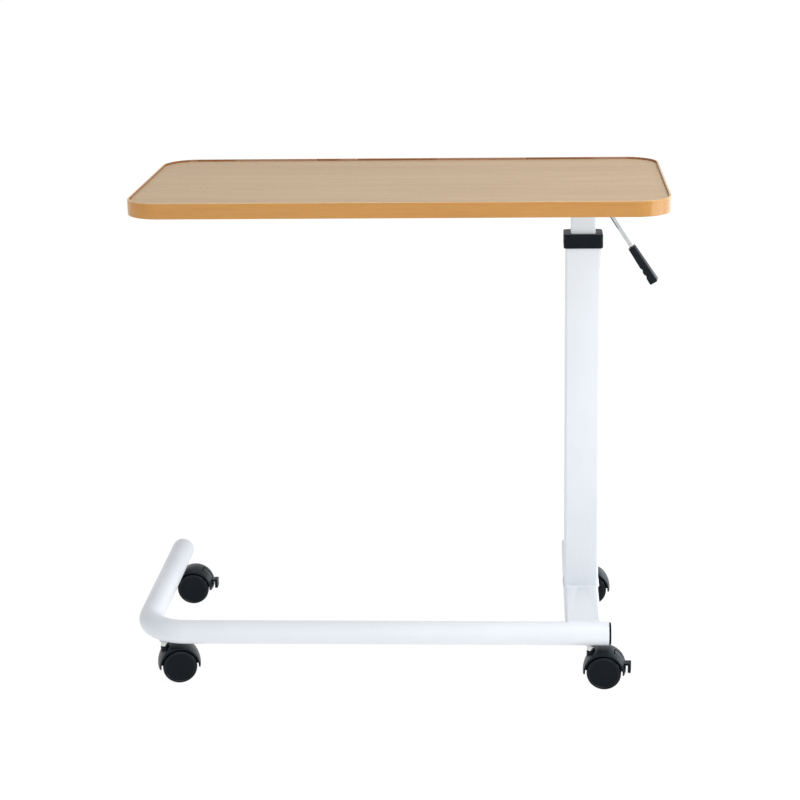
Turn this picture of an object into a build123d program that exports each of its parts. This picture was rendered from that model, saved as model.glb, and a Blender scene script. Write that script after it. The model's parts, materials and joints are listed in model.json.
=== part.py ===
from build123d import *
import math
import os

# Overbed table. Millimetres, +Z up, floor at z = 0, origin on the floor under the middle of the
# overall length and depth. +X runs along the tabletop towards the column, +Y points to the back.

# ---- Driving dimensions: whole table ----
overall_length = 785.5
tabletop_length = 760.0
tabletop_depth = 380.0
tabletop_corner_radius = 50.0
tabletop_top_z = 726.0
height_travel = 300.0

# ---- Tabletop ----
band_height = 22.0
band_thickness = 3.0
band_edge_radius = 1.0
lip_height = 3.0
laminate_thickness = 0.8
backer_thickness = 0.6
insert_joint_offset = -84.5
insert_length = 64.0
rear_joint_offset = 177.0

# ---- Round base tube ----
tube_diameter = 35.0
tube_wall = 1.5
tube_axis_z = 80.0
tube_bend_radius = 62.0
front_run_y = -164.0
front_run_end_offset = 37.0
base_rear_y = 186.8
end_cap_thickness = 3.2
end_cap_plug = 14.0
end_cap_wall = 2.0
end_cap_overlap = 0.3
end_cap_edge_radius = 0.8
end_cap_inner_corner_radius = 0.6

# ---- Rectangular rail and column ----
column_offset = 262.0
column_width = 52.0
column_depth = 42.0
column_corner_radius = 4.0
rail_height = 34.0
section_wall = 1.5
column_top_z = 643.5
foot_plate_thickness = 5.0

# ---- Inner column and its plastic guides ----
inner_width = 36.0
inner_depth = 28.0
inner_corner_radius = 3.5
inner_bottom_z = 132.0
collar_width = 57.6
collar_depth = 46.6
collar_top_z = 646.0
collar_skirt_z = 625.5
collar_sleeve_z = 604.0
collar_corner_radius = 5.5
collar_top_radius = 1.6
collar_skirt_chamfer = 0.6
glide_bottom_z = 126.0
glide_top_z = 156.0
slide_clearance = 0.25
cylinder_clearance = 0.8

# ---- Support frame under the tabletop ----
cross_bar_thickness = 4.0
cross_bar_width = 30.0
cross_bar_length = 300.0
cross_bar_offsets = {"left": -170.0, "right": 222.0}
beam_depth = 40.0
beam_height = 20.0
beam_left_offset = -200.0
beam_right_overhang = 42.0
beam_corner_radius = 3.0
beam_cap_thickness = 2.0
beam_cap_plug = 10.0
beam_cap_margin = 0.5
cross_bar_corner_radius = 6.0
screw_positions_y = (-130.0, -60.0, 60.0, 130.0)
screw_radius = 2.0
screw_head_radius = 4.2
screw_head_height = 2.4
screw_length = 15.0
screw_recess = (4.4, 1.0, 1.2)

# ---- Gas spring ----
cylinder_radius = 11.0
cylinder_bore_radius = 9.5
cylinder_bottom_z = 103.0
cylinder_top_z = 628.0
cylinder_guide_length = 12.0
cylinder_foot_thickness = 6.0
cylinder_shoulder_radius = 8.0
foot_stud_radius = 4.0
foot_stud_bottom_z = 84.0
foot_nut_across_flats = 13.0
foot_nut_height = 6.5
gas_rod_radius = 5.0
gas_rod_top_z = 662.0
gas_rod_bottom_z = 304.0
piston_height = 12.0
pin_bore_depth = 4.0
running_clearance = 0.05
turned_chamfer = 0.8
release_pin_radius = 1.5
release_pin_bottom_z = 630.0
release_pin_top_z = 668.6

# ---- Release head and lever ----
head_bottom_z = 640.0
head_top_z = 678.0
head_ear_start = 8.0
ear_gap = 13.4
lever_pivot_offset = 12.0
lever_pivot_z = 672.0
lever_pin_radius = 2.0
lever_hub_radius = 5.0
lever_hub_length = 6.0
lever_rod_radius = 3.0
lever_inner_reach = 6.0
lever_bend_offset = 39.8
lever_bend_radius = 10.0
lever_angle = 57.0
lever_rod_length = 92.0
lever_slot_width = 8.4
lever_slot_bottom_z = 664.0
grip_start = 58.0
grip_length = 63.0
grip_inner_size = (10.0, 12.0)
grip_outer_size = (12.8, 15.0)
grip_corner_radius = 2.2
grip_end_radius = 1.8
grip_twist = 14.0
notch_radius = 4.0
notch_depth = 2.1
notch_positions = (37.0, 48.0)
spring_wire_radius = 0.5
spring_coil_radius = 2.9
spring_pitch = 1.1
spring_turns = 2.0
spring_start_y = -3.75

# ---- Casters ----
wheel_radius = 25.4
wheel_inner_face = 6.5
wheel_outer_face = 20.5
wheel_bore_radius = 3.05
axle_radius = 3.0
axle_half_length = 16.0
axle_end_clearance = 0.4
wheel_hub_radius = 7.5
wheel_disc_thickness = 3.5
wheel_tread_thickness = 4.4
wheel_inner_chamfer = 1.2
wheel_edge_radius = 2.4
wheel_rim_flat = 1.4
wheel_face_recess = 0.5
caster_trail = 20.0
hood_middle_radius = 31.8
hood_edge_radius = 29.8
hood_inner_radius = 27.6
hood_half_width = 21.0
hood_skirt_drop = 1.6
hood_hub_radius = 7.0
web_half_width = 5.8
web_overlap = 0.5
boss_radius = 6.5
boss_top_z = 53.4
boss_bottom_z = 33.4
boss_bore_bottom_z = 29.4
stem_pin_bottom_z = 30.4
stem_pin_radius = 4.0
stem_shoulder_radius = 6.1
stem_shoulder_gap = 0.3
stem_thread_radius = 5.0
stem_top_z = 84.0
socket_radius = 8.0
socket_bottom_z = 61.5
socket_top_z = 88.0
front_right_caster_offset = 273.0
front_left_caster_bend_angle = 57.0
rear_caster_y = 163.0
swivel_angles = {"front_left": 13.0, "front_right": -5.0, "rear_left": 1.0, "rear_right": 0.0}
braked_casters = ("front_right", "rear_left")

# ---- Brake pedal, measured from the wheel axle ----
pedal_pivot_radius = 25.0
pedal_pivot_angle = 56.0
pedal_pin_radius = 1.5
pedal_plate_radii = (28.4, 31.0)
pedal_plate_angles = (22.0, 60.0)
pedal_slot_angles = (14.0, 63.6)
pedal_half_width = 8.0
pedal_side_clearance = 1.4
pedal_arm_start = 26.5
pedal_arm_reach = 39.0
pedal_arm_inset = 1.5
pedal_arm_z = (8.4, 11.4)
pedal_toe_thickness = 4.6
pedal_toe_bottom = -3.0
pedal_toe_radius = 1.4
pedal_pad_radius = 25.7
pedal_pad_angles = (30.0, 44.0)
pedal_pad_clearance = 0.2
pedal_overlap = 0.1
pedal_lug_radius = 3.0
pedal_lug_angles = (46.0, 59.0)
pedal_lug_half_width = 2.4
pedal_lug_clearance = 0.3
lug_slot_inner_radius = 18.0

# ---- Worked out ----
tabletop_x = overall_length / 2 - tabletop_length / 2
left_run_x = -overall_length / 2 + tube_diameter / 2
column_x = tabletop_x + column_offset
tube_radius = tube_diameter / 2
tube_bottom_z = tube_axis_z - tube_radius
rail_top_z = tube_axis_z + rail_height / 2
front_run_end_x = column_x + front_run_end_offset
band_bottom_z = tabletop_top_z - band_height
surface_z = tabletop_top_z - lip_height
beam_top_z = band_bottom_z - cross_bar_thickness
beam_bottom_z = beam_top_z - beam_height
bend_centre = (left_run_x + tube_bend_radius, front_run_y + tube_bend_radius)
bend_stem_angle = math.radians(180 + front_left_caster_bend_angle)
caster_positions = {
    "front_left": (
        bend_centre[0] + tube_bend_radius * math.cos(bend_stem_angle),
        bend_centre[1] + tube_bend_radius * math.sin(bend_stem_angle),
    ),
    "front_right": (tabletop_x + front_right_caster_offset, front_run_y),
    "rear_left": (left_run_x, rear_caster_y),
    "rear_right": (column_x, rear_caster_y),
}


# ---- Small shape helpers ----
def rounded_prism(width, depth, corner, bottom, top, x=0.0, y=0.0):
    """Upright prism with rounded corners between two heights."""
    outline = Pos(x, y, bottom) * RectangleRounded(width, depth, corner)
    return extrude(outline, top - bottom)


def upright_cylinder(radius, bottom, top, x=0.0, y=0.0):
    return Pos(x, y, (bottom + top) / 2) * Cylinder(radius, top - bottom)


def cross_cylinder(radius, start_y, end_y, x=0.0, z=0.0):
    """Cylinder lying along Y."""
    return Pos(x, (start_y + end_y) / 2, z) * Rot(90, 0, 0) * Cylinder(radius, end_y - start_y)


def block(low, high):
    """Box between two opposite corners."""
    size = [b - a for a, b in zip(low, high)]
    middle = [(a + b) / 2 for a, b in zip(low, high)]
    return Pos(*middle) * Box(*size)


def rounded_bar(plane, width, height, corner, length):
    """Bar of rounded-rectangle section, pushed out along a plane's normal."""
    return extrude(plane * RectangleRounded(width, height, corner), length)


def hexagon_nut(across_flats, bore_radius, bottom, height, x, y):
    outline = Pos(x, y, bottom) * RegularPolygon(across_flats / 2, 6, major_radius=False)
    return extrude(outline, height) - upright_cylinder(bore_radius, bottom - 1, bottom + height + 1, x, y)


def sector(inner, outer, start_angle, end_angle, half_width):
    """Part of a flat ring in the XZ plane, as thick as twice half_width along Y."""
    start = math.radians(start_angle)
    end = math.radians(end_angle)
    middle = (start + end) / 2

    def point(radius, angle):
        return (radius * math.cos(angle), 0, radius * math.sin(angle))

    outline = Wire([
        ThreePointArc(point(outer, start), point(outer, middle), point(outer, end)).edge(),
        Line(point(outer, end), point(inner, end)).edge(),
        ThreePointArc(point(inner, end), point(inner, middle), point(inner, start)).edge(),
        Line(point(inner, start), point(outer, start)).edge(),
    ])
    return extrude(Face(outline), half_width, dir=(0, 1, 0), both=True)


# ---- Base ----
def make_base_tube():
    """Round tube: front run, one bend, and the left run towards the back."""
    path = FilletPolyline(
        (front_run_end_x, front_run_y, tube_axis_z),
        (left_run_x, front_run_y, tube_axis_z),
        (left_run_x, base_rear_y, tube_axis_z),
        radius=tube_bend_radius,
    )
    section = Plane(origin=path @ 0, z_dir=path % 0) * (
        Circle(tube_radius) - Circle(tube_radius - tube_wall)
    )
    tube = sweep(section, path=path)
    for name in ("front_left", "front_right", "rear_left"):
        x, y = caster_positions[name]
        tube -= upright_cylinder(socket_radius, tube_bottom_z - tube_radius, tube_axis_z, x, y)
    return tube


def make_base_rail():
    """Flat-topped rail, its front end shaped to the round tube it is welded to."""
    plane = Plane(origin=(column_x, front_run_y, tube_axis_z), x_dir=(1, 0, 0), z_dir=(0, 1, 0))
    length = base_rear_y - front_run_y
    rail = rounded_bar(plane, column_width, rail_height, column_corner_radius, length) - rounded_bar(
        plane, column_width - 2 * section_wall, rail_height - 2 * section_wall,
        column_corner_radius - section_wall, length,
    )
    rail -= Pos(column_x, front_run_y, tube_axis_z) * Rot(0, 90, 0) * Cylinder(tube_radius, 2 * column_width)
    for name in ("front_right", "rear_right"):
        x, y = caster_positions[name]
        rail -= upright_cylinder(socket_radius, tube_bottom_z - tube_radius, tube_axis_z, x, y)
    rail -= upright_cylinder(foot_stud_radius, tube_axis_z, rail_top_z + 1, column_x)
    return rail


def make_round_end_cap():
    """Plug for a round tube end, facing +X, with its flange starting at x = 0."""
    bore = tube_radius - tube_wall
    flange = upright_cylinder(bore + end_cap_overlap, 0, end_cap_thickness)
    flange = fillet(flange.edges().sort_by(Axis.Z)[-1], end_cap_edge_radius)
    plug = upright_cylinder(bore, -end_cap_plug, 0)
    plug -= upright_cylinder(bore - end_cap_wall, -end_cap_plug - 1, 0)
    return Rot(0, 90, 0) * (flange + plug)


def make_rail_end_cap():
    """Plug for the back end of the rail."""
    plane = Plane(origin=(column_x, base_rear_y, tube_axis_z), x_dir=(1, 0, 0), z_dir=(0, 1, 0))
    width = column_width - 2 * section_wall
    height = rail_height - 2 * section_wall
    corner = column_corner_radius - section_wall
    flange = rounded_bar(
        plane, width + 2 * end_cap_overlap, height + 2 * end_cap_overlap, corner, end_cap_thickness
    )
    flange = fillet(flange.faces().sort_by(Axis.Y)[-1].edges(), end_cap_edge_radius)
    plug = rounded_bar(plane, width, height, corner, -end_cap_plug)
    plug -= rounded_bar(
        plane, width - 2 * end_cap_wall, height - 2 * end_cap_wall, end_cap_inner_corner_radius, -end_cap_plug
    )
    return flange + plug


def make_outer_column():
    outer = rounded_prism(
        column_width, column_depth, column_corner_radius, rail_top_z, column_top_z, column_x
    )
    inner = rounded_prism(
        column_width - 2 * section_wall, column_depth - 2 * section_wall,
        column_corner_radius - section_wall, rail_top_z - 1, column_top_z + 1, column_x,
    )
    return outer - inner


def make_column_foot_plate():
    """Plate welded in the bottom of the column, which the gas spring stands on."""
    plate = rounded_prism(
        column_width - 2 * section_wall, column_depth - 2 * section_wall,
        column_corner_radius - section_wall, rail_top_z, rail_top_z + foot_plate_thickness, column_x,
    )
    return plate - upright_cylinder(foot_stud_radius, rail_top_z - 1, cylinder_bottom_z, column_x)


def make_column_collar():
    """Plastic collar: a skirt outside the outer column and a guide sleeve inside it."""
    rim = rounded_prism(
        collar_width, collar_depth, collar_corner_radius, collar_skirt_z, collar_top_z, column_x
    )
    rim = fillet(rim.faces().sort_by(Axis.Z)[-1].edges(), collar_top_radius)
    rim = chamfer(rim.faces().sort_by(Axis.Z)[0].edges(), collar_skirt_chamfer)
    rim -= rounded_prism(
        column_width, column_depth, column_corner_radius, collar_skirt_z - 1, column_top_z, column_x
    )
    sleeve = rounded_prism(
        column_width - 2 * section_wall, column_depth - 2 * section_wall,
        column_corner_radius - section_wall, collar_sleeve_z, column_top_z, column_x,
    )
    passage = rounded_prism(
        inner_width + 2 * slide_clearance, inner_depth + 2 * slide_clearance, inner_corner_radius,
        collar_sleeve_z - 1, collar_top_z + 1, column_x,
    )
    return rim + sleeve - passage


def make_gas_cylinder():
    """Pressure tube with a closed foot and a threaded foot stud."""
    body = upright_cylinder(cylinder_radius, cylinder_bottom_z, cylinder_top_z, column_x)
    body = chamfer(body.edges().sort_by(Axis.Z)[-1], turned_chamfer)
    body -= upright_cylinder(
        cylinder_bore_radius, cylinder_bottom_z + cylinder_foot_thickness, cylinder_top_z + 1, column_x
    )
    shoulder = upright_cylinder(
        cylinder_shoulder_radius, rail_top_z + foot_plate_thickness, cylinder_bottom_z, column_x
    )
    stud = upright_cylinder(foot_stud_radius, foot_stud_bottom_z, cylinder_bottom_z, column_x)
    return body + shoulder + stud


def make_gas_guide():
    guide = upright_cylinder(
        cylinder_bore_radius, cylinder_top_z - cylinder_guide_length, cylinder_top_z, column_x
    )
    return guide - upright_cylinder(
        gas_rod_radius + running_clearance, cylinder_top_z - 2 * cylinder_guide_length,
        cylinder_top_z + 1, column_x,
    )


# ---- Moving upper part ----
def make_inner_column():
    outer = rounded_prism(
        inner_width, inner_depth, inner_corner_radius, inner_bottom_z, beam_bottom_z, column_x
    )
    inner = rounded_prism(
        inner_width - 2 * section_wall, inner_depth - 2 * section_wall,
        inner_corner_radius - section_wall, inner_bottom_z - 1, beam_bottom_z + 1, column_x,
    )
    slot = block(
        (column_x + inner_width / 2 - 2 * section_wall, -lever_slot_width / 2, lever_slot_bottom_z),
        (column_x + inner_width / 2 + 1, lever_slot_width / 2, beam_bottom_z + 1),
    )
    return outer - inner - slot


def make_column_glide():
    """Plastic shoe on the lower end of the inner column."""
    shoe = rounded_prism(
        column_width - 2 * section_wall - 2 * slide_clearance,
        column_depth - 2 * section_wall - 2 * slide_clearance,
        column_corner_radius - section_wall, glide_bottom_z, glide_top_z, column_x,
    )
    shoe -= rounded_prism(
        inner_width, inner_depth, inner_corner_radius, inner_bottom_z, glide_top_z + 1, column_x
    )
    return shoe - upright_cylinder(
        cylinder_radius + cylinder_clearance, glide_bottom_z - 1, inner_bottom_z + 1, column_x
    )


def make_support_beam():
    left = tabletop_x + beam_left_offset
    length = column_x + beam_right_overhang - left
    plane = Plane(origin=(left, 0, beam_top_z - beam_height / 2), x_dir=(0, 1, 0), z_dir=(1, 0, 0))
    beam = rounded_bar(plane, beam_depth, beam_height, beam_corner_radius, length)
    return beam - rounded_bar(
        plane, beam_depth - 2 * section_wall, beam_height - 2 * section_wall,
        beam_corner_radius - section_wall, length,
    )


def make_beam_end_caps():
    """Two identical plugs, one in each end of the support beam."""
    caps = []
    beam_middle_z = beam_top_z - beam_height / 2
    for x, direction in ((tabletop_x + beam_left_offset, -1), (column_x + beam_right_overhang, 1)):
        plane = Plane(origin=(x, 0, beam_middle_z), x_dir=(0, 1, 0), z_dir=(direction, 0, 0))
        flange = rounded_bar(
            plane, beam_depth - 2 * beam_cap_margin, beam_height - 2 * beam_cap_margin,
            beam_corner_radius - beam_cap_margin, beam_cap_thickness,
        )
        plug = rounded_bar(
            plane, beam_depth - 2 * section_wall, beam_height - 2 * section_wall,
            beam_corner_radius - section_wall, -beam_cap_plug,
        )
        caps.append(flange + plug)
    return Compound(caps)


def screw_points():
    for offset in cross_bar_offsets.values():
        for y in screw_positions_y:
            yield tabletop_x + offset, y


def drill_screw_holes(shape, bottom, top):
    for x, y in screw_points():
        shape -= upright_cylinder(screw_radius, bottom, top, x, y)
    return shape


def make_cross_bar(offset):
    x = tabletop_x + offset
    bar = rounded_prism(
        cross_bar_width, cross_bar_length, cross_bar_corner_radius, beam_top_z, band_bottom_z, x
    )
    return drill_screw_holes(bar, beam_top_z - 1, band_bottom_z + 1)


def make_wood_screws():
    """Eight pan-head screws that hold the tabletop on the cross bars."""
    screws = []
    head_bottom_face_z = beam_top_z - screw_head_height
    slot_length, slot_width, slot_depth = screw_recess
    for x, y in screw_points():
        head = upright_cylinder(screw_head_radius, head_bottom_face_z, beam_top_z, x, y)
        head = fillet(head.edges().sort_by(Axis.Z)[0], 0.6 * screw_head_height)
        for angle in (0, 90):
            cross = Rot(0, 0, angle) * Box(slot_length, slot_width, 2 * slot_depth)
            head -= Pos(x, y, head_bottom_face_z) * cross
        shank = upright_cylinder(screw_radius, beam_top_z, beam_top_z + screw_length, x, y)
        screws.append(head + shank)
    return Compound(screws)


def make_tabletop_board():
    board = rounded_prism(
        tabletop_length - 2 * band_thickness, tabletop_depth - 2 * band_thickness,
        tabletop_corner_radius - band_thickness,
        band_bottom_z + backer_thickness, surface_z - laminate_thickness, tabletop_x,
    )
    return drill_screw_holes(board, band_bottom_z, beam_top_z + screw_length)


def make_top_laminate():
    return rounded_prism(
        tabletop_length - 2 * band_thickness, tabletop_depth - 2 * band_thickness,
        tabletop_corner_radius - band_thickness, surface_z - laminate_thickness, surface_z, tabletop_x,
    )


def make_backing_sheet():
    sheet = rounded_prism(
        tabletop_length - 2 * band_thickness, tabletop_depth - 2 * band_thickness,
        tabletop_corner_radius - band_thickness, band_bottom_z, band_bottom_z + backer_thickness, tabletop_x,
    )
    return drill_screw_holes(sheet, band_bottom_z - 1, band_bottom_z + 1)


def make_edge_bands():
    """Lipping around the board: one long piece and two pieces along the back."""
    ring = rounded_prism(
        tabletop_length, tabletop_depth, tabletop_corner_radius, band_bottom_z, tabletop_top_z, tabletop_x
    )
    ring = fillet(ring.faces().sort_by(Axis.Z)[-1].edges() + ring.faces().sort_by(Axis.Z)[0].edges(),
                  band_edge_radius)
    hollow = rounded_prism(
        tabletop_length - 2 * band_thickness, tabletop_depth - 2 * band_thickness,
        tabletop_corner_radius - band_thickness, band_bottom_z - 1, tabletop_top_z + 1, tabletop_x,
    )
    ring -= hollow

    def rear_window(start, end):
        return block(
            (tabletop_x + start, tabletop_depth / 2 - 2 * band_thickness, band_bottom_z - 1),
            (tabletop_x + end, tabletop_depth / 2 + 1, tabletop_top_z + 1),
        )

    insert_start = insert_joint_offset - insert_length
    pieces = {
        "edge_band_insert": ring & rear_window(insert_start, insert_joint_offset),
        "edge_band_rear": ring & rear_window(insert_joint_offset, rear_joint_offset),
        "edge_band_main": ring - rear_window(insert_start, rear_joint_offset),
    }
    return pieces


# ---- Gas spring rod, release head and lever ----
def make_gas_rod():
    rod = upright_cylinder(gas_rod_radius, gas_rod_bottom_z, gas_rod_top_z, column_x)
    return rod - upright_cylinder(
        release_pin_radius + running_clearance, release_pin_bottom_z - pin_bore_depth,
        gas_rod_top_z + 1, column_x,
    )


def make_gas_piston():
    piston = upright_cylinder(
        cylinder_bore_radius - running_clearance, gas_rod_bottom_z, gas_rod_bottom_z + piston_height, column_x
    )
    return piston - upright_cylinder(
        gas_rod_radius, gas_rod_bottom_z - 1, gas_rod_bottom_z + piston_height + 1, column_x
    )


def make_release_pin():
    pin = upright_cylinder(release_pin_radius, release_pin_bottom_z, release_pin_top_z, column_x)
    return fillet(pin.edges().sort_by(Axis.Z)[-1], 0.4 * release_pin_radius)


def make_release_head():
    """Block in the top of the inner column: it takes the rod's thread and carries the lever in two ears."""
    width = inner_width - 2 * section_wall
    depth = inner_depth - 2 * section_wall
    corner = inner_corner_radius - section_wall
    head = rounded_prism(width, depth, corner, head_bottom_z, head_top_z, column_x)
    head -= block(
        (column_x - width, -ear_gap / 2, gas_rod_top_z),
        (column_x + width, ear_gap / 2, head_top_z + 1),
    )
    head -= block(
        (column_x - width, -depth, gas_rod_top_z),
        (column_x - head_ear_start, depth, head_top_z + 1),
    )
    head -= upright_cylinder(gas_rod_radius, head_bottom_z - 1, gas_rod_top_z + 1, column_x)
    return head - cross_cylinder(lever_pin_radius, -depth, depth, column_x + lever_pivot_offset, lever_pivot_z)


def make_lever_pin():
    half = inner_depth / 2 - section_wall
    return cross_cylinder(lever_pin_radius, -half, half, column_x + lever_pivot_offset, lever_pivot_z)


def lever_directions():
    angle = math.radians(lever_angle)
    along = Vector(math.cos(angle), 0, -math.sin(angle))
    across = Vector(math.sin(angle), 0, math.cos(angle))
    return along, across


def make_lever_rod():
    """Bent steel rod with a hub on the lever pin; its short end lies over the release pin."""
    along, _ = lever_directions()
    corner = Vector(column_x + lever_bend_offset, 0, lever_pivot_z)
    path = FilletPolyline(
        Vector(column_x - lever_inner_reach, 0, lever_pivot_z), corner, corner + along * lever_rod_length,
        radius=lever_bend_radius,
    )
    rod = sweep(Plane(origin=path @ 0, z_dir=path % 0) * Circle(lever_rod_radius), path=path)
    hub_x = column_x + lever_pivot_offset
    half = lever_hub_length / 2
    rod += cross_cylinder(lever_hub_radius, -half, half, hub_x, lever_pivot_z)
    return rod - cross_cylinder(
        lever_pin_radius + running_clearance, -lever_hub_length, lever_hub_length, hub_x, lever_pivot_z
    )


def make_lever_grip():
    """Plastic grip that widens towards its outer end, with two finger notches on its lower side."""
    along, across = lever_directions()
    start = Vector(column_x + lever_bend_offset, 0, lever_pivot_z) + along * grip_start
    axis = Plane(origin=start, x_dir=across, z_dir=along)
    inner_end = RectangleRounded(*grip_inner_size, grip_corner_radius)
    outer_end = Pos(0, 0, grip_length) * RectangleRounded(*grip_outer_size, grip_corner_radius)
    grip = loft([inner_end, outer_end])
    grip = fillet(grip.faces().sort_by(Axis.Z)[-1].edges(), grip_end_radius)
    for position in notch_positions:
        width = grip_inner_size[0] + (grip_outer_size[0] - grip_inner_size[0]) * position / grip_length
        grip -= cross_cylinder(
            notch_radius, -grip_outer_size[1], grip_outer_size[1],
            -width / 2 - notch_radius + notch_depth, position,
        )
    grip -= upright_cylinder(lever_rod_radius, -1, lever_rod_length - grip_start)
    return axis * Rot(0, 0, grip_twist) * grip


def make_lever_spring():
    """Torsion spring around the lever pin, beside the hub."""
    turns = Helix(spring_pitch, spring_pitch * spring_turns, spring_coil_radius)
    wire = sweep(Plane(origin=turns @ 0, z_dir=turns % 0) * Circle(spring_wire_radius), path=turns)
    return Pos(column_x + lever_pivot_offset, spring_start_y, lever_pivot_z) * Rot(90, 0, 0) * wire


# ---- Casters, built around their stem axis with the wheels trailing along +X ----
def axle_frame(shape):
    """Move a shape drawn around the wheel axle to its place behind the stem."""
    return Pos(caster_trail, 0, wheel_radius) * shape


def pedal_pivot():
    angle = math.radians(pedal_pivot_angle)
    return pedal_pivot_radius * math.cos(angle), pedal_pivot_radius * math.sin(angle)


def make_hood(braked):
    """Domed hood with a middle web that holds the axle and the stem."""
    profile = Wire([
        ThreePointArc(
            (hood_edge_radius, -hood_half_width, 0), (hood_middle_radius, 0, 0),
            (hood_edge_radius, hood_half_width, 0),
        ).edge(),
        Line((hood_edge_radius, hood_half_width, 0), (hood_inner_radius, hood_half_width, 0)).edge(),
        Line((hood_inner_radius, hood_half_width, 0), (hood_inner_radius, -hood_half_width, 0)).edge(),
        Line((hood_inner_radius, -hood_half_width, 0), (hood_edge_radius, -hood_half_width, 0)).edge(),
    ])
    shell = revolve(Face(profile), axis=Axis.Y)
    web = cross_cylinder(hood_inner_radius + web_overlap, -web_half_width, web_half_width)
    reach = 2 * hood_middle_radius
    below = block((-reach, -reach, -reach), (reach, reach, -hood_skirt_drop))
    hub = cross_cylinder(hood_hub_radius, -web_half_width, web_half_width)
    body = (shell + web) - below + hub
    boss_top = boss_top_z - wheel_radius
    boss = upright_cylinder(boss_radius, boss_bottom_z - wheel_radius, boss_top, -caster_trail)
    body += boss - cross_cylinder(hood_inner_radius, -hood_half_width, hood_half_width)
    body -= upright_cylinder(
        stem_pin_radius + running_clearance, boss_bore_bottom_z - wheel_radius, boss_top + 1, -caster_trail
    )
    body -= cross_cylinder(axle_radius, -hood_half_width, hood_half_width)
    if braked:
        pivot_x, pivot_z = pedal_pivot()
        body -= sector(
            pedal_pad_radius - pedal_pad_clearance, reach, *pedal_slot_angles,
            pedal_half_width + pedal_side_clearance,
        )
        body -= sector(
            lug_slot_inner_radius, reach, *pedal_slot_angles, pedal_lug_half_width + pedal_lug_clearance
        )
        body -= cross_cylinder(pedal_pin_radius, -hood_half_width, hood_half_width, pivot_x, pivot_z)
    return axle_frame(body)


def make_axle():
    return axle_frame(cross_cylinder(axle_radius, -axle_half_length, axle_half_length))


def make_wheel(side):
    """One of the two wheels: closed outer face, rim, and a hub with a blind bore. side is -1 or 1."""
    inner, outer = wheel_inner_face, wheel_outer_face
    disc_inner_face = outer - wheel_disc_thickness
    tread_inner_radius = wheel_radius - wheel_tread_thickness
    face_radius = wheel_radius - wheel_edge_radius - wheel_rim_flat
    bore_end = axle_half_length + axle_end_clearance
    points = [
        (wheel_bore_radius, inner), (wheel_hub_radius, inner),
        (wheel_hub_radius, disc_inner_face), (tread_inner_radius, disc_inner_face),
        (tread_inner_radius, inner), (wheel_radius - wheel_inner_chamfer, inner),
        (wheel_radius, inner + wheel_inner_chamfer), (wheel_radius, outer),
        (face_radius + wheel_face_recess, outer), (face_radius, outer - wheel_face_recess),
        (0, outer - wheel_face_recess), (0, bore_end), (wheel_bore_radius, bore_end),
    ]
    outline = Polyline([(radius, side * y) for radius, y in points], close=True)
    section = Face(Wire(outline.edges()))
    outer_corner = section.vertices().sort_by_distance((wheel_radius, side * outer, 0))[0]
    return axle_frame(revolve(section.fillet_2d(wheel_edge_radius, [outer_corner]), axis=Axis.Y))


def make_brake_pedal():
    """Pedal: a curved plate in the hood's slot, an arm, a toe plate, two pads and a pivot lug."""
    inner, outer = pedal_plate_radii
    pivot_x, pivot_z = pedal_pivot()
    pedal = sector(inner, outer, *pedal_plate_angles, pedal_half_width)
    arm_low, arm_high = pedal_arm_z
    arm_half_width = pedal_half_width - pedal_arm_inset
    pedal += block((pedal_arm_start, -arm_half_width, arm_low), (pedal_arm_reach, arm_half_width, arm_high))
    toe = block(
        (pedal_arm_reach - pedal_toe_thickness, -pedal_half_width, pedal_toe_bottom),
        (pedal_arm_reach, pedal_half_width, arm_high),
    )
    toe = fillet(toe.edges().filter_by(Axis.Y) + toe.edges().filter_by(Axis.X), pedal_toe_radius)
    pedal += toe
    pads = sector(pedal_pad_radius, inner + pedal_overlap, *pedal_pad_angles, pedal_half_width)
    pads -= cross_cylinder(hood_middle_radius, -wheel_inner_face, wheel_inner_face)
    pedal += pads
    pedal += cross_cylinder(pedal_lug_radius, -pedal_lug_half_width, pedal_lug_half_width, pivot_x, pivot_z)
    pedal += sector(
        pedal_pivot_radius - pedal_lug_radius / 2, inner + pedal_overlap, *pedal_lug_angles,
        pedal_lug_half_width,
    )
    pedal -= cross_cylinder(
        pedal_pin_radius + running_clearance, -pedal_half_width, pedal_half_width, pivot_x, pivot_z
    )
    return axle_frame(pedal)


def make_brake_pin():
    pivot_x, pivot_z = pedal_pivot()
    return axle_frame(cross_cylinder(pedal_pin_radius, -web_half_width, web_half_width, pivot_x, pivot_z))


def make_stem():
    """Swivel pin, bright shoulder and threaded end, in one turned piece."""
    shoulder_bottom = boss_top_z + stem_shoulder_gap
    pin = upright_cylinder(stem_pin_radius, stem_pin_bottom_z, shoulder_bottom)
    shoulder = upright_cylinder(stem_shoulder_radius, shoulder_bottom, socket_bottom_z)
    shoulder = chamfer(shoulder.edges().sort_by(Axis.Z)[0], turned_chamfer)
    thread = upright_cylinder(stem_thread_radius, socket_bottom_z, stem_top_z)
    return pin + shoulder + chamfer(thread.edges().sort_by(Axis.Z)[-1], turned_chamfer)


def make_socket():
    socket = upright_cylinder(socket_radius, socket_bottom_z, socket_top_z)
    return socket - upright_cylinder(stem_thread_radius, socket_bottom_z - 1, stem_top_z + 0.5)


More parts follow.
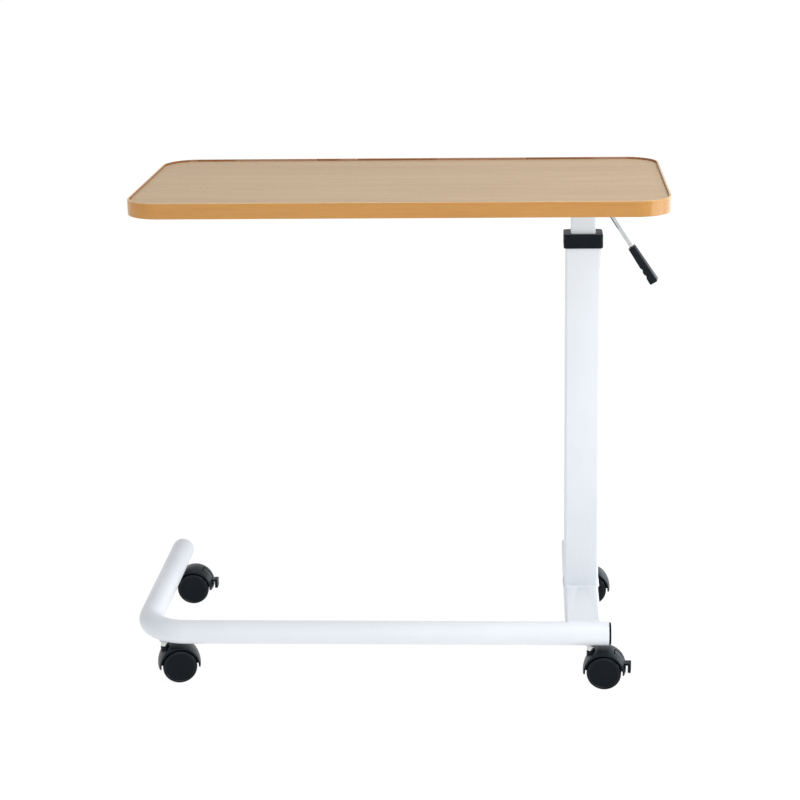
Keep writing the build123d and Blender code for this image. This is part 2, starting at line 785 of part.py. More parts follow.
def make_caster_nodes():
    nodes = {}
    sockets = []
    for name, (x, y) in caster_positions.items():
        braked = name in braked_casters
        place = Pos(x, y, 0) * Rot(0, 0, swivel_angles[name])
        nodes[f"caster_stem_{name}"] = place * make_stem()
        nodes[f"caster_hood_{name}"] = place * make_hood(braked)
        nodes[f"caster_axle_{name}"] = place * make_axle()
        nodes[f"wheel_{name}_front"] = place * make_wheel(-1)
        nodes[f"wheel_{name}_back"] = place * make_wheel(1)
        if braked:
            nodes[f"brake_pedal_{name}"] = place * make_brake_pedal()
            nodes[f"brake_pin_{name}"] = place * make_brake_pin()
        sockets.append(place * make_socket())
    nodes["caster_sockets"] = Compound(sockets)
    return nodes


# ---- All nodes ----
def make_nodes():
    nodes = {
        "base_tube": make_base_tube(),
        "base_rail": make_base_rail(),
        "front_end_cap": Pos(front_run_end_x, front_run_y, tube_axis_z) * make_round_end_cap(),
        "rear_end_cap": Pos(left_run_x, base_rear_y, tube_axis_z) * Rot(0, 0, 90) * make_round_end_cap(),
        "rail_end_cap": make_rail_end_cap(),
        "outer_column": make_outer_column(),
        "column_foot_plate": make_column_foot_plate(),
        "column_collar": make_column_collar(),
        "gas_cylinder": make_gas_cylinder(),
        "gas_guide": make_gas_guide(),
        "cylinder_foot_nut": hexagon_nut(
            foot_nut_across_flats, foot_stud_radius,
            rail_top_z - section_wall - foot_nut_height, foot_nut_height, column_x, 0,
        ),
        "inner_column": make_inner_column(),
        "column_glide": make_column_glide(),
        "support_beam": make_support_beam(),
        "beam_end_caps": make_beam_end_caps(),
        "cross_bar_left": make_cross_bar(cross_bar_offsets["left"]),
        "cross_bar_right": make_cross_bar(cross_bar_offsets["right"]),
        "wood_screws": make_wood_screws(),
        "tabletop_board": make_tabletop_board(),
        "top_laminate": make_top_laminate(),
        "backing_sheet": make_backing_sheet(),
        "gas_rod": make_gas_rod(),
        "gas_piston": make_gas_piston(),
        "release_pin": make_release_pin(),
        "release_head": make_release_head(),
        "lever_pin": make_lever_pin(),
        "lever_spring": make_lever_spring(),
        "lever_rod": make_lever_rod(),
        "lever_grip": make_lever_grip(),
    }
    nodes.update(make_edge_bands())
    nodes.update(make_caster_nodes())
    return nodes


os.makedirs("parts", exist_ok=True)
for node_name, shape in make_nodes().items():
    export_step(shape, f"parts/{node_name}.step")
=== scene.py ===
import json
import math

import bpy
from mathutils import Matrix, Vector


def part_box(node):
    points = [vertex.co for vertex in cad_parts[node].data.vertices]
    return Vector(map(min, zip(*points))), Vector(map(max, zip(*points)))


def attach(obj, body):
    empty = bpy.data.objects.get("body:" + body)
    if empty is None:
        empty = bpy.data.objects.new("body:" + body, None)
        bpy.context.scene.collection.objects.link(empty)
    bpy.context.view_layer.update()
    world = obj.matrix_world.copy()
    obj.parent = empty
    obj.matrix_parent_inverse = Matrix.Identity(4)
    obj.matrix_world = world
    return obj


# Looks of the overbed table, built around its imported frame.
# Metres, +Z up, floor at z = 0. +X runs along the tabletop towards the column, +Y to the back.

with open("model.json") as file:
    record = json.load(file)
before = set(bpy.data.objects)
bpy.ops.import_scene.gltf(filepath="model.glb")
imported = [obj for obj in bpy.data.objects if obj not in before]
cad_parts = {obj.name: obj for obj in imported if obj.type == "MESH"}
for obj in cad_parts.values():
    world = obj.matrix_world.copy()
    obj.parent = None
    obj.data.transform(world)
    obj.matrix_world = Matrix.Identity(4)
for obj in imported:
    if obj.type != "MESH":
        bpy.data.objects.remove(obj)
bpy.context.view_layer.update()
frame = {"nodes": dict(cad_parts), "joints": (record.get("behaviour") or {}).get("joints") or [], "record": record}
nodes = frame["nodes"]
slot_of = {part["node"]: part["material_slot"] for part in frame["record"]["subparts"]}

# Every material is made below, so the frame's plain ones go.
for plain in list(bpy.data.materials):
    bpy.data.materials.remove(plain)


# ---- Material building ----
def srgb(red, green, blue):
    """Display colour, each channel from 0 to 255, as the linear colour that a shader takes."""
    channels = []
    for value in (red, green, blue):
        share = value / 255
        channels.append(share / 12.92 if share <= 0.04045 else ((share + 0.055) / 1.055) ** 2.4)
    return (*channels, 1.0)


class Look:
    """One material being made: a Principled shader, and short calls that add nodes before it."""

    def __init__(self, name, **constants):
        self.material = bpy.data.materials.new(name)
        self.material.use_nodes = True
        self.tree = self.material.node_tree
        self.tree.nodes.clear()
        self.shader = self.tree.nodes.new("ShaderNodeBsdfPrincipled")
        output = self.tree.nodes.new("ShaderNodeOutputMaterial")
        self.tree.links.new(self.shader.outputs["BSDF"], output.inputs["Surface"])
        for socket, value in constants.items():
            self.shader.inputs[socket.replace("_", " ")].default_value = value
        self.coordinates = self.tree.nodes.new("ShaderNodeTexCoord").outputs["Object"]

    def add(self, kind, inputs, output=0, **settings):
        """Add a node. An input is a constant, or the output of another node."""
        node = self.tree.nodes.new(kind)
        for key, value in settings.items():
            setattr(node, key, value)
        for socket, value in inputs.items():
            if isinstance(value, bpy.types.NodeSocket):
                self.tree.links.new(value, node.inputs[socket])
            else:
                node.inputs[socket].default_value = value
        return node.outputs[output]

    def stretch(self, x, y, z):
        """Object coordinates times a scale along each axis."""
        return self.add("ShaderNodeMapping", {"Vector": self.coordinates, "Scale": (x, y, z)})

    def noise(self, where, scale=1.0, detail=3.0, roughness=0.55, distortion=0.0):
        return self.add("ShaderNodeTexNoise", {
            "Vector": where,
            "Scale": scale,
            "Detail": detail,
            "Roughness": roughness,
            "Distortion": distortion,
        })

    def ramp(self, factor, *stops):
        """Colour ramp through (position, colour) stops."""
        node = self.tree.nodes.new("ShaderNodeValToRGB")
        self.tree.links.new(factor, node.inputs["Fac"])
        elements = node.color_ramp.elements
        while len(elements) < len(stops):
            elements.new(0.5)
        for element, (position, colour) in zip(elements, stops):
            element.position = position
            element.color = colour
        return node.outputs["Color"]

    def spread(self, factor, start, end, low, high):
        """Take start..end of a factor to low..high."""
        return self.add("ShaderNodeMapRange", {
            "Value": factor, "From Min": start, "From Max": end, "To Min": low, "To Max": high,
        })

    def math(self, operation, first, second=0.0):
        return self.add("ShaderNodeMath", {0: first, 1: second}, operation=operation)

    def dot(self, first, second):
        """Dot product of two vectors."""
        sockets = {0: first, 1: second}
        return self.add("ShaderNodeVectorMath", sockets, output="Value", operation="DOT_PRODUCT")

    def blend(self, factor, first, second):
        """Mix two colours. The node's sockets 6 and 7 and its output 2 are its colour ones."""
        return self.add("ShaderNodeMix", {0: factor, 6: first, 7: second}, output=2, data_type="RGBA")

    def bump(self, height, distance, strength, normal=None):
        """Bump from a height, on top of the normal of another bump if one is given."""
        inputs = {"Height": height, "Distance": distance, "Strength": strength}
        if normal is not None:
            inputs["Normal"] = normal
        return self.add("ShaderNodeBump", inputs)

    def drive(self, **sockets):
        """Link outputs to the shader's sockets."""
        for socket, value in sockets.items():
            self.tree.links.new(value, self.shader.inputs[socket.replace("_", " ")])
        return self.material


# ---- Looks ----
def white_coat():
    """Smooth white powder coat: faint orange peel, slow gloss changes and light handling marks."""
    darker, paler, marked = srgb(219, 223, 229), srgb(224, 228, 233), srgb(214, 216, 217)
    look = Look("white_coat", Specular_IOR_Level=0.4)
    drift = look.noise(look.coordinates, scale=7, detail=2)
    tint = look.ramp(drift, (0.3, darker), (0.7, paler))
    smudge = look.noise(look.stretch(30, 30, 12), detail=5, roughness=0.6)
    colour = look.blend(look.spread(smudge, 0.6, 0.8, 0.0, 0.4), tint, marked)
    peel = look.noise(look.coordinates, scale=850, detail=1.5)
    grit = look.noise(look.coordinates, scale=3200, detail=1)
    peel_bump = look.bump(peel, 0.00012, 0.35)
    return look.drive(
        Base_Color=colour,
        Roughness=look.spread(smudge, 0.3, 0.75, 0.32, 0.46),
        Normal=look.bump(grit, 0.00004, 0.25, peel_bump),
    )


def beech_laminate():
    """Printed beech foil: grain along X in slow bands, fine streaks and short ray flecks."""
    early_wood, mid_wood, late_wood = srgb(190, 163, 131), srgb(197, 170, 136), srgb(188, 160, 127)
    figure_brown, streak_cream, fleck_brown = srgb(175, 145, 114), srgb(205, 181, 146), srgb(149, 115, 86)
    look = Look("beech_laminate", Specular_IOR_Level=0.2)
    bands = look.noise(look.stretch(1.2, 13, 1), detail=2, distortion=0.3)
    figure = look.noise(look.stretch(5, 95, 1), detail=3, roughness=0.6, distortion=0.2)
    streaks = look.noise(look.stretch(12, 300, 1), detail=4, roughness=0.6)
    flecks = look.noise(look.stretch(150, 620, 1), detail=3, roughness=0.6)
    base = look.ramp(bands, (0.3, early_wood), (0.5, mid_wood), (0.72, late_wood))
    figured = look.blend(look.spread(figure, 0.4, 0.66, 0.0, 0.42), base, figure_brown)
    streaked = look.blend(look.spread(streaks, 0.4, 0.7, 0.0, 0.5), figured, streak_cream)
    colour = look.blend(look.spread(flecks, 0.58, 0.72, 0.0, 0.55), streaked, fleck_brown)
    texture = look.noise(look.stretch(60, 1400, 60), detail=3)
    return look.drive(
        Base_Color=colour,
        Roughness=look.spread(streaks, 0.3, 0.7, 0.42, 0.54),
        Normal=look.bump(texture, 0.00006, 0.3),
    )


def beech_band(middle, joint_places, back_y):
    """Lacquered beech lipping: grain along the edge, a painted highlight on the top faces, painted shade on the
    inner side, glue lines at the back.

    The inner side is the one that faces the middle of the tabletop. The glue lines stand at the
    joint places along X, and only behind back_y.
    """
    early_wood, mid_wood, late_wood = srgb(179, 123, 55), srgb(189, 134, 64), srgb(183, 127, 58)
    grain_honey, fleck_brown = srgb(198, 146, 76), srgb(160, 104, 50)
    # The pale top colour is a painted highlight and the dark inner colour is painted shade, both laid on by the
    # direction a face turns.
    painted_top_highlight, painted_inner_shade, glue_cream = srgb(222, 180, 122), srgb(132, 76, 28), srgb(226, 206, 170)
    glue_half_width = 0.00035
    look = Look(
        "beech_band", Coat_Weight=0.6, Coat_Roughness=0.07, Coat_IOR=1.6, Specular_IOR_Level=0.1
    )
    bands = look.noise(look.stretch(5, 5, 150), detail=3, distortion=0.2)
    fine = look.noise(look.stretch(22, 22, 1100), detail=4, roughness=0.6)
    flecks = look.noise(look.stretch(160, 160, 1300), detail=2)
    base = look.ramp(bands, (0.28, early_wood), (0.5, mid_wood), (0.75, late_wood))
    grain = look.blend(look.spread(fine, 0.35, 0.75, 0.0, 0.6), base, grain_honey)
    wood = look.blend(look.spread(flecks, 0.6, 0.76, 0.0, 0.4), grain, fleck_brown)

    normal = look.add("ShaderNodeNewGeometry", {}, output="Normal")
    normal_up = look.add("ShaderNodeSeparateXYZ", {"Vector": normal}, output="Z")
    # Painted highlight: faces that turn upwards are mixed towards a pale honey colour.
    colour = look.blend(look.spread(normal_up, 0.25, 0.7, 0.0, 0.7), wood, painted_top_highlight)
    # Painted shade: faces that turn towards the middle of the tabletop are mixed towards dark brown.
    inward = look.add("ShaderNodeVectorMath", {0: middle, 1: look.coordinates}, operation="SUBTRACT")
    facing_in = look.dot(normal, inward)
    colour = look.blend(look.spread(facing_in, 0.02, 0.12, 0.0, 0.9), colour, painted_inner_shade)

    place_x = look.add("ShaderNodeSeparateXYZ", {"Vector": look.coordinates}, output="X")
    place_y = look.add("ShaderNodeSeparateXYZ", {"Vector": look.coordinates}, output="Y")
    at_back = look.math("GREATER_THAN", place_y, back_y)
    for joint_x in joint_places:
        away = look.math("ABSOLUTE", look.math("SUBTRACT", place_x, joint_x))
        near = look.math("MULTIPLY", look.math("LESS_THAN", away, glue_half_width), at_back)
        colour = look.blend(near, colour, glue_cream)
    return look.drive(
        Base_Color=colour,
        Roughness=look.spread(fine, 0.3, 0.7, 0.34, 0.5),
        Normal=look.bump(fine, 0.00005, 0.3),
    )


def tabletop_band():
    """The lipping's look, with its middle and its joints taken from the three band pieces."""
    joint_margin = 0.0001
    top_low, top_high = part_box("edge_band_main")
    insert_low, insert_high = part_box("edge_band_insert")
    _, rear_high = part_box("edge_band_rear")
    joint_places = (insert_low.x, insert_high.x, rear_high.x)
    return beech_band((top_low + top_high) / 2, joint_places, insert_low.y - joint_margin)


def board_core():
    """Pressed fibre board: short tangled fibres."""
    dark, mid, pale = srgb(158, 124, 84), srgb(190, 156, 112), srgb(208, 178, 136)
    look = Look("board_core")
    fibres = look.noise(look.stretch(900, 900, 2600), detail=5, roughness=0.7)
    return look.drive(
        Base_Color=look.ramp(fibres, (0.3, dark), (0.55, mid), (0.8, pale)),
        Roughness=look.spread(fibres, 0.3, 0.7, 0.8, 0.95),
        Normal=look.bump(fibres, 0.0002, 0.5),
    )


def backing_paper():
    """Pale balancing sheet on the underside: matt, slightly mottled, with a faint press grain."""
    darker, paler = srgb(218, 213, 200), srgb(225, 220, 207)
    look = Look("backing_paper", Specular_IOR_Level=0.3)
    mottle = look.noise(look.coordinates, scale=60, detail=4)
    press = look.noise(look.stretch(500, 900, 500), detail=3)
    return look.drive(
        Base_Color=look.ramp(mottle, (0.3, darker), (0.7, paler)),
        Roughness=look.spread(mottle, 0.3, 0.7, 0.55, 0.7),
        Normal=look.bump(press, 0.00005, 0.4),
    )


def moulded_black(name, low, high, roughness, grain_scale, grain_depth, gloss, axle=None):
    """Black moulded plastic: spark-eroded grain, slow sheen changes and pale rubbed spots.

    On a wheel, whose axle direction is given, the rounded rim is polished and the flat faces are not.
    """
    rubbed = srgb(58, 62, 66)
    cool_sheen = (0.74, 0.88, 1.0, 1.0)
    look = Look(name, Specular_IOR_Level=gloss, Specular_Tint=cool_sheen, Coat_Roughness=0.12)
    drift = look.noise(look.coordinates, scale=35, detail=3)
    rub = look.noise(look.coordinates, scale=260, detail=5, roughness=0.65)
    base = look.ramp(drift, (0.3, low), (0.7, high))
    grain = look.noise(look.coordinates, scale=grain_scale, detail=2)
    if axle:
        normal = look.add("ShaderNodeTexCoord", {}, output="Normal")
        along_axle = look.math("ABSOLUTE", look.dot(normal, axle))
        look.drive(Coat_Weight=look.spread(along_axle, 0.985, 0.9, 0.0, 0.45))
    return look.drive(
        Base_Color=look.blend(look.spread(rub, 0.66, 0.8, 0.0, 0.25), base, rubbed),
        Roughness=look.spread(drift, 0.3, 0.7, roughness - 0.05, roughness + 0.07),
        Normal=look.bump(grain, grain_depth, 0.5),
    )


def plated_steel(name, low, high, roughness, scratch_scale):
    """Plated steel: fine drawn scratches, patches of dulled plating."""
    look = Look(name, Metallic=1.0)
    patches = look.noise(look.coordinates, scale=90, detail=4)
    scratches = look.noise(look.stretch(*scratch_scale), detail=3, roughness=0.6)
    return look.drive(
        Base_Color=look.ramp(patches, (0.3, low), (0.7, high)),
        Roughness=look.spread(patches, 0.3, 0.75, roughness, roughness + 0.14),
        Normal=look.bump(scratches, 0.00002, 0.35),
    )


def cylinder_paint():
    """Black baked paint on the gas spring."""
    darker, paler = srgb(22, 22, 24), srgb(38, 38, 41)
    look = Look("cylinder_paint", Coat_Weight=0.3, Coat_Roughness=0.2)
    drift = look.noise(look.stretch(60, 60, 20), detail=4)
    peel = look.noise(look.coordinates, scale=1100, detail=2)
    return look.drive(
        Base_Color=look.ramp(drift, (0.3, darker), (0.7, paler)),
        Roughness=look.spread(drift, 0.3, 0.7, 0.28, 0.4),
        Normal=look.bump(peel, 0.00006, 0.4),
    )


# The wheels' slot, wheel_nylon, isn't here, because every wheel has a look of its own.
looks = {
    "white_coat": white_coat(),
    "beech_laminate": beech_laminate(),
    "beech_band": tabletop_band(),
    "board_core": board_core(),
    "backing_paper": backing_paper(),
    "black_plastic": moulded_black(
        "black_plastic", low=srgb(12, 15, 18), high=srgb(19, 22, 25),
        roughness=0.42, grain_scale=2600, grain_depth=0.00006, gloss=0.12,
    ),
    "black_nylon": moulded_black(
        "black_nylon", low=srgb(11, 17, 22), high=srgb(17, 24, 30),
        roughness=0.34, grain_scale=1700, grain_depth=0.00005, gloss=0.17,
    ),
    "bright_steel": plated_steel(
        "bright_steel", low=srgb(186, 189, 188), high=srgb(210, 212, 212),
        roughness=0.1, scratch_scale=(500, 500, 30),
    ),
    "zinc_steel": plated_steel(
        "zinc_steel", low=srgb(172, 176, 178), high=srgb(198, 200, 200),
        roughness=0.3, scratch_scale=(300, 300, 300),
    ),
    "cylinder_paint": cylinder_paint(),
}


def node_looks():
    """Looks of the nodes that have their own: the lever's grip, and each wheel round its own axle."""
    own = {
        "lever_grip": moulded_black(
            "grip_plastic", low=srgb(9, 12, 15), high=srgb(15, 18, 22),
            roughness=0.25, grain_scale=2600, grain_depth=0.00004, gloss=0.2,
        ),
    }
    for joint in frame["joints"]:
        if joint["name"].startswith("wheel_spin_"):
            wheel = joint["name"].replace("wheel_spin_", "wheel_")
            own[wheel] = moulded_black(
                wheel, low=srgb(8, 11, 14), high=srgb(14, 18, 22),
                roughness=0.24, grain_scale=1500, grain_depth=0.00003, gloss=0.14, axle=joint["axis"],
            )
    return own


# ---- Surface finish of the CAD nodes ----
corner_gap = 2e-6
flat_angle = math.radians(0.3)
smooth_angle = math.radians(32)
bevel_angle = math.radians(35)

# Slots with no width here keep their edges as they are.
bevel_widths = {
    "white_coat": 0.0004,
    "beech_band": 0.00025,
    "black_plastic": 0.0004,
    "black_nylon": 0.0005,
    "wheel_nylon": 0.0004,
    "bright_steel": 0.0002,
    "zinc_steel": 0.0003,
    "cylinder_paint": 0.0004,
}


def geometry_group(name):
    """New geometry node group, with the sockets where its geometry comes in and goes out."""
    tree = bpy.data.node_groups.new(name, "GeometryNodeTree")
    for direction in ("INPUT", "OUTPUT"):
        tree.interface.new_socket("Geometry", in_out=direction, socket_type="NodeSocketGeometry")
    return tree, tree.nodes.new("NodeGroupInput").outputs[0], tree.nodes.new("NodeGroupOutput").inputs[0]


def clean_up_group():
    """Geometry nodes that join split corners and drop the stored normals."""
    tree, incoming, outgoing = geometry_group("join_corners")
    merge = tree.nodes.new("GeometryNodeMergeByDistance")
    merge.inputs["Distance"].default_value = corner_gap
    drop = tree.nodes.new("GeometryNodeRemoveAttribute")
    drop.inputs["Name"].default_value = "custom_normal"
    tree.links.new(incoming, merge.inputs["Geometry"])
    tree.links.new(merge.outputs["Geometry"], drop.inputs["Geometry"])
    tree.links.new(drop.outputs["Geometry"], outgoing)
    return tree


def smooth_group():
    """Geometry nodes that shade smooth except across edges sharper than the smooth angle."""
    tree, incoming, outgoing = geometry_group("smooth_below_angle")
    edge_angle = tree.nodes.new("GeometryNodeInputMeshEdgeAngle")
    below = tree.nodes.new("FunctionNodeCompare")
    below.data_type = "FLOAT"
    below.operation = "LESS_THAN"
    below.inputs[1].default_value = smooth_angle
    faces = tree.nodes.new("GeometryNodeSetShadeSmooth")
    faces.domain = "FACE"
    edges = tree.nodes.new("GeometryNodeSetShadeSmooth")
    edges.domain = "EDGE"
    tree.links.new(edge_angle.outputs["Unsigned Angle"], below.inputs[0])
    tree.links.new(incoming, faces.inputs["Geometry"])
    tree.links.new(faces.outputs["Geometry"], edges.inputs["Geometry"])
    tree.links.new(below.outputs["Result"], edges.inputs["Shade Smooth"])
    tree.links.new(edges.outputs["Geometry"], outgoing)
    return tree


join_corners = clean_up_group()
smooth_below_angle = smooth_group()


def finish_surface(piece, bevel_width):
    """Round the edges a little, if a width is given, and shade the curved faces smooth."""
    join = piece.modifiers.new("join_corners", "NODES")
    join.node_group = join_corners
    flatten = piece.modifiers.new("flat_faces", "DECIMATE")
    flatten.decimate_type = "DISSOLVE"
    flatten.angle_limit = flat_angle
    if bevel_width:
        bevel = piece.modifiers.new("edges", "BEVEL")
        bevel.width = bevel_width
        bevel.segments = 2
        bevel.limit_method = "ANGLE"
        bevel.angle_limit = bevel_angle
    smooth = piece.modifiers.new("smooth", "NODES")
    smooth.node_group = smooth_below_angle


def dress_cad_nodes():
    """Give every CAD node its own look, or else its slot's, and finish its surface."""
    own = node_looks()
    for name, piece in nodes.items():
        slot = slot_of[name]
        piece.data.materials.clear()
        piece.data.materials.append(own[name] if name in own else looks[slot])
        finish_surface(piece, bevel_widths.get(slot))


dress_cad_nodes()


# ---- Weld beads ----
bead_step = 0.0006
bead_radius = 0.0017
bar_bead_radius = 0.0014
bead_sides = 10
ripple_length = 0.0019
ripple_rise = 0.2
waver_rise = 0.05
waver_radians_per_metre = 310
ripple_start_share = 0.86


def rounded_rectangle(width, height, corner):
    """Points around a rounded rectangle centred on the origin, about a bead step apart, as (across, up)."""
    points = []
    # Each side starts at (across, up) and runs its length in the direction of its heading.
    sides = (
        (width / 2, -height / 2 + corner, 90, height - 2 * corner),
        (width / 2 - corner, height / 2, 180, width - 2 * corner),
        (-width / 2, height / 2 - corner, 270, height - 2 * corner),
        (-width / 2 + corner, -height / 2, 0, width - 2 * corner),
    )
    for across, up, heading, length in sides:
        angle = math.radians(heading)
        straight_steps = max(1, round(length / bead_step))
        for index in range(straight_steps):
            travelled = length * index / straight_steps
            points.append((across + travelled * math.cos(angle), up + travelled * math.sin(angle)))
        end = (across + length * math.cos(angle), up + length * math.sin(angle))
        centre = (end[0] - corner * math.sin(angle), end[1] + corner * math.cos(angle))
        turn_steps = max(1, round(corner * math.pi / 2 / bead_step))
        for index in range(turn_steps):
            turn = angle - math.pi / 2 + math.pi / 2 * index / turn_steps
            points.append((centre[0] + corner * math.cos(turn), centre[1] + corner * math.sin(turn)))
    return points


def bead_swell(travelled):
    """Share of the radius at a distance along a bead: each ripple rises, then drops to the next one."""
    phase = (travelled / ripple_length) % 1.0
    waver = waver_rise * math.sin(travelled * waver_radians_per_metre)
    return ripple_start_share + ripple_rise * math.sqrt(phase) + waver


def add_weld_bead(name, path, body, closed=True, radius=bead_radius):
    """Rippled bead of filler along a path, half sunk in the corner that it fills."""
    count = len(path)
    vertices = []
    travelled = 0.0
    for index, point in enumerate(path):
        before = path[index - 1] if closed or index else point
        after = path[(index + 1) % count] if closed or index < count - 1 else point
        along = (after - before).normalized()
        across = along.cross(Vector((0, 0, 1)) if abs(along.z) < 0.9 else Vector((0, 1, 0))).normalized()
        up = across.cross(along)
        if index:
            travelled += (point - before).length
        swell = bead_swell(travelled)
        for side in range(bead_sides):
            angle = 2 * math.pi * side / bead_sides
            offset = math.cos(angle) * across + math.sin(angle) * up
            vertices.append(point + radius * swell * offset)
    faces = []
    for ring in range(count if closed else count - 1):
        here, there = ring * bead_sides, (ring + 1) % count * bead_sides
        for side in range(bead_sides):
            beside = (side + 1) % bead_sides
            faces.append((here + side, here + beside, there + beside, there + side))
    if not closed:
        faces.append(tuple(range(bead_sides)))
        faces.append(tuple(range((count - 1) * bead_sides, count * bead_sides))[::-1])
    mesh = bpy.data.meshes.new(name)
    mesh.from_pydata(vertices, [], faces)
    mesh.shade_smooth()
    mesh.materials.append(looks["white_coat"])
    bead = bpy.data.objects.new(name, mesh)
    bpy.context.scene.collection.objects.link(bead)
    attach(bead, body)


def weld_base():
    """Beads round the column's foot, and round the rail where it meets the front tube."""
    tube_corner = 0.004
    column_low, column_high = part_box("outer_column")
    middle = (column_low + column_high) / 2
    outline = rounded_rectangle(column_high.x - column_low.x, column_high.y - column_low.y, tube_corner)
    foot = [Vector((middle.x + x, middle.y + y, column_low.z)) for x, y in outline]
    add_weld_bead("weld_column_foot", foot, "base")

    rail_low, rail_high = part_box("base_rail")
    cap_low, cap_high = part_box("front_end_cap")
    tube_low, tube_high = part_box("base_tube")
    tube_radius = (tube_high.z - tube_low.z) / 2
    tube_y = (cap_low.y + cap_high.y) / 2
    tube_z = (cap_low.z + cap_high.z) / 2
    outline = rounded_rectangle(rail_high.x - rail_low.x, rail_high.z - rail_low.z, tube_corner)
    saddle = []
    for x, z in outline:
        y = tube_y + math.sqrt(tube_radius**2 - z**2)
        saddle.append(Vector(((rail_low.x + rail_high.x) / 2 + x, y, tube_z + z)))
    add_weld_bead("weld_rail_front", saddle, "base")


def weld_support():
    """Beads under the tabletop: inner column to beam, and cross bars to beam."""
    inner_corner = 0.0035
    inner_low, inner_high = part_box("inner_column")
    middle = (inner_low + inner_high) / 2
    outline = rounded_rectangle(inner_high.x - inner_low.x, inner_high.y - inner_low.y, inner_corner)
    head = [Vector((middle.x + x, middle.y + y, inner_high.z)) for x, y in outline]
    add_weld_bead("weld_column_head", head, "lifting_top")

    beam_low, beam_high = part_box("support_beam")
    end_gap = 0.001
    steps = 50
    for side in ("left", "right"):
        bar_low, bar_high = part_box(f"cross_bar_{side}")
        start = bar_low.x + end_gap
        length = bar_high.x - bar_low.x - 2 * end_gap
        for edge, y in (("front", beam_low.y), ("back", beam_high.y)):
            line = [Vector((start + length * index / steps, y, beam_high.z)) for index in range(steps + 1)]
            name = f"weld_bar_{side}_{edge}"
            add_weld_bead(name, line, "lifting_top", closed=False, radius=bar_bead_radius)


weld_base()
weld_support()


# ---- Studio ----
def make_floor():
    """Large plain floor of pale, faintly lit sheet."""
    half = 60.0
    corners = [(-half, -half, 0), (half, -half, 0), (half, half, 0), (-half, half, 0)]
    mesh = bpy.data.meshes.new("studio_floor")
    mesh.from_pydata(corners, [], [(0, 1, 2, 3)])
    floor = bpy.data.objects.new("studio_floor", mesh)
    bpy.context.scene.collection.objects.link(floor)
    look = Look(
        "studio_floor",
        Roughness=0.9,
        Specular_IOR_Level=0.0,
        Emission_Color=(1, 1, 1, 1),
        Emission_Strength=0.95,
    )
    patches = look.noise(look.coordinates, scale=0.8)
    tone = look.ramp(patches, (0.3, srgb(88, 88, 88)), (0.7, srgb(92, 92, 92)))
    mesh.materials.append(look.drive(Base_Color=tone))


def make_world():
    """Soft sky: dim on the left, bright on the right, and white near the horizon like the floor."""
    left_strength, right_strength, horizon_strength = 0.3, 1.0, 1.06
    # Heights on the sky's unit sphere, where the white band begins and where it is full.
    horizon_top, horizon_full = 0.32, 0.2
    sky_colour = (0.97, 0.985, 1.0, 1.0)

    world = bpy.data.worlds.new("studio")
    bpy.context.scene.world = world
    world.use_nodes = True
    tree = world.node_tree
    tree.nodes.clear()
    coordinates = tree.nodes.new("ShaderNodeTexCoord")
    split = tree.nodes.new("ShaderNodeSeparateXYZ")
    side = tree.nodes.new("ShaderNodeMapRange")
    side.inputs["From Min"].default_value = -1.0
    side.inputs["From Max"].default_value = 1.0
    side.inputs["To Min"].default_value = left_strength
    side.inputs["To Max"].default_value = right_strength
    horizon = tree.nodes.new("ShaderNodeMapRange")
    horizon.inputs["From Min"].default_value = horizon_top
    horizon.inputs["From Max"].default_value = horizon_full
    horizon.inputs["To Max"].default_value = horizon_strength
    background = tree.nodes.new("ShaderNodeBackground")
    background.inputs["Color"].default_value = sky_colour
    output = tree.nodes.new("ShaderNodeOutputWorld")
    tree.links.new(coordinates.outputs["Generated"], split.inputs["Vector"])
    tree.links.new(split.outputs["X"], side.inputs["Value"])
    tree.links.new(split.outputs["Z"], horizon.inputs["Value"])
    tree.links.new(side.outputs["Result"], horizon.inputs["To Min"])
    tree.links.new(horizon.outputs["Result"], background.inputs["Strength"])
    tree.links.new(background.outputs["Background"], output.inputs["Surface"])


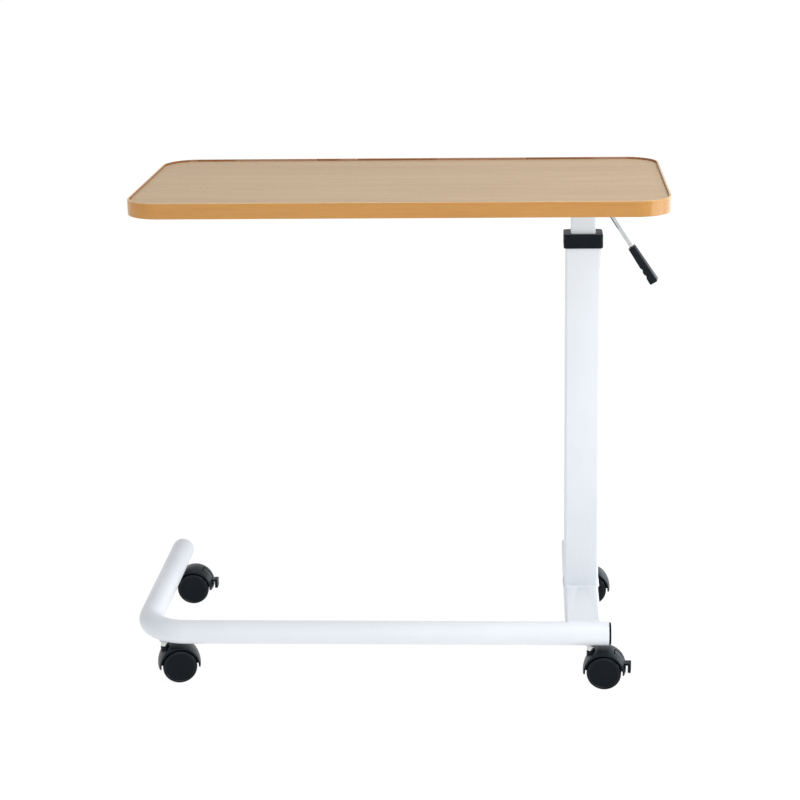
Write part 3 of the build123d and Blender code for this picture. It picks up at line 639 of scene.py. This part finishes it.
def add_softbox(name, location, target, width, height, power, colour=(1.0, 1.0, 1.0)):
    """Rectangular area light, in metres and watts, turned from its location to a target point."""
    light = bpy.data.lights.new(name, "AREA")
    light.shape = "RECTANGLE"
    light.size = width
    light.size_y = height
    light.energy = power
    light.color = colour
    lamp = bpy.data.objects.new(name, light)
    bpy.context.scene.collection.objects.link(lamp)
    lamp.location = location
    lamp.rotation_euler = (Vector(target) - Vector(location)).to_track_quat("-Z", "Y").to_euler()


def make_lights():
    """Low key and rim lights on the right, a soft fill in front, and two lights from above."""
    cool_white, pale_blue, warm_white = (0.95, 0.98, 1.0), (0.82, 0.91, 1.0), (1.0, 0.99, 0.98)
    add_softbox(
        "key_right", location=(2.3, -0.75, 0.4), target=(0.35, -0.1, 0.55),
        width=1.7, height=0.6, power=10.0, colour=cool_white,
    )
    add_softbox(
        "rim_back_right", location=(2.14, 1.3, 0.45), target=(0.38, -0.1, 0.6),
        width=3.2, height=0.8, power=12.0, colour=pale_blue,
    )
    add_softbox(
        "front_fill", location=(0.9, -4.1, 1.9), target=(0.1, 0, 0.3),
        width=2.4, height=1.2, power=22.0, colour=warm_white,
    )
    add_softbox(
        "upper_right", location=(1.7, -0.8, 2.6), target=(0.1, 0.0, 0.3), width=1.2, height=1.2, power=26.0
    )
    add_softbox(
        "overhead", location=(0.7, 0.4, 2.9), target=(0.0, 0.0, 0.4), width=2.2, height=1.8, power=7.0
    )


def make_camera():
    """Camera of the table's usual view: in front, a little to the right, looking slightly down."""
    place = (0.1925, -2.8551, 1.2174)
    yaw, pitch, roll = -0.046, 0.282, -0.014
    forward = Vector((math.sin(yaw) * math.cos(pitch), math.cos(yaw) * math.cos(pitch), -math.sin(pitch)))
    level_right = Vector((math.cos(yaw), -math.sin(yaw), 0.0))
    level_up = level_right.cross(forward)
    right = math.cos(roll) * level_right + math.sin(roll) * level_up
    up = math.cos(roll) * level_up - math.sin(roll) * level_right
    data = bpy.data.cameras.new("camera")
    data.lens = 88.76
    data.sensor_width = 36.0
    data.shift_x = -0.05
    data.clip_end = 200.0
    camera = bpy.data.objects.new("camera", data)
    bpy.context.scene.collection.objects.link(camera)
    turn = Matrix((right, up, -forward)).transposed()
    camera.matrix_world = Matrix.Translation(place) @ turn.to_4x4()
    bpy.context.scene.camera = camera


make_floor()
make_world()
make_lights()
make_camera()
bpy.context.scene.view_settings.view_transform = "Standard"
